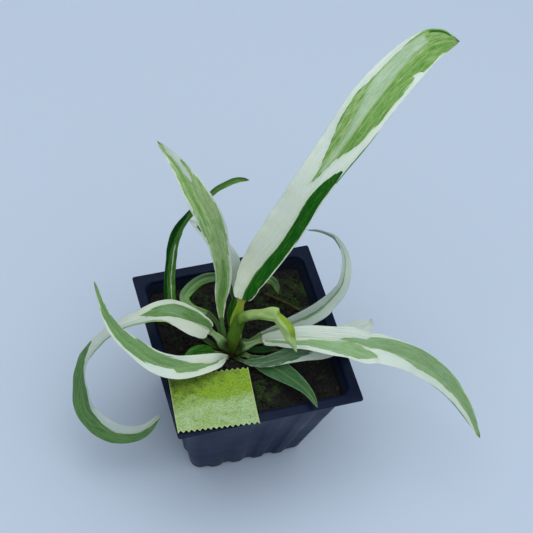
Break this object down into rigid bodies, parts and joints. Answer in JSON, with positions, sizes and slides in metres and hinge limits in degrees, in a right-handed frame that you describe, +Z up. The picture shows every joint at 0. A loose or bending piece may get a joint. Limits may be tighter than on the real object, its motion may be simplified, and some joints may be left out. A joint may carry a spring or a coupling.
{
  "type": "potted philodendron",
  "caption": "Young strap-leaved variegated plant in a square tapered nursery pot of soil, with a strip of green paper tape on the rim.",
  "frame": {"origin": "centre of the pot's base, on the surface it stands on", "axes": "+Z up, X and Y along the pot's sides, -Y towards the side with the paper tape"},
  "size_m": [0.1992, 0.1447, 0.1852],
  "materials": {
    "pot_plastic": "satin black with a blue sheen",
    "soil_mix": "crumbly, damp, with moss",
    "crown_tissue": "waxy",
    "leaf_tissue": "waxy, variegated green and cream",
    "tape_paper": "matt, fibrous"
  },
  "bodies": {
    "root": {"pot": "pot_plastic", "soil": "soil_mix", "crown": "crown_tissue", "label_tape": "tape_paper", "leaf_tall": "leaf_tissue", "leaf_curl": "leaf_tissue", "leaf_sweep": "leaf_tissue", "leaf_upright": "leaf_tissue", "leaf_hook": "leaf_tissue", "leaf_arch": "leaf_tissue", "leaf_ring": "leaf_tissue", "leaf_broad": "leaf_tissue", "leaf_under": "leaf_tissue", "leaf_front": "leaf_tissue", "leaf_left_low": "leaf_tissue", "leaf_right_low": "leaf_tissue", "leaf_inner": "leaf_tissue", "leaf_behind": "leaf_tissue", "leaf_new": "leaf_tissue"}
  },
  "joints": []
}
